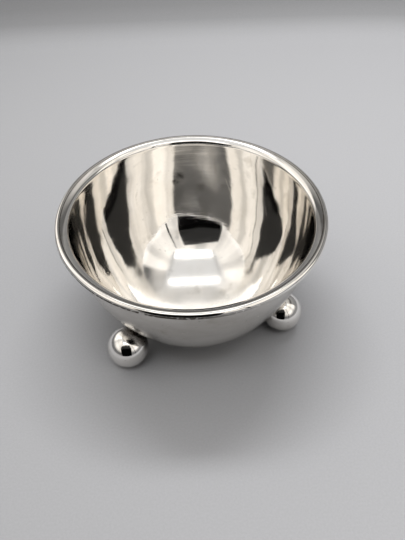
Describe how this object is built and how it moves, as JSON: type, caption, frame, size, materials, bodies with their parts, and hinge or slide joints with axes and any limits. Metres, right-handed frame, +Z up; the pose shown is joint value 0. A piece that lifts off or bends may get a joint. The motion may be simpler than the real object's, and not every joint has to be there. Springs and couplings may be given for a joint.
{
  "type": "salt cellar",
  "caption": "Small round open salt cellar in polished silver: a deep bowl with a flared lip and a wired edge, standing on ball feet.",
  "frame": {"origin": "on the table, under the bowl's axis", "axes": "+Z up along the bowl's axis, +Y towards the back foot, +X towards the right foot's side"},
  "size_m": [0.06, 0.06, 0.0331],
  "materials": {
    "polished_silver": "polished silver with fine wiping scratches",
    "silver_solder": "dull silver solder"
  },
  "bodies": {
    "root": {"bowl": "polished_silver", "rim_wire": "polished_silver", "foot_left_upper_half": "polished_silver", "foot_left_lower_half": "polished_silver", "foot_left_solder": "silver_solder", "foot_right_upper_half": "polished_silver", "foot_right_lower_half": "polished_silver", "foot_right_solder": "silver_solder", "foot_back_upper_half": "polished_silver", "foot_back_lower_half": "polished_silver", "foot_back_solder": "silver_solder"}
  },
  "joints": []
}
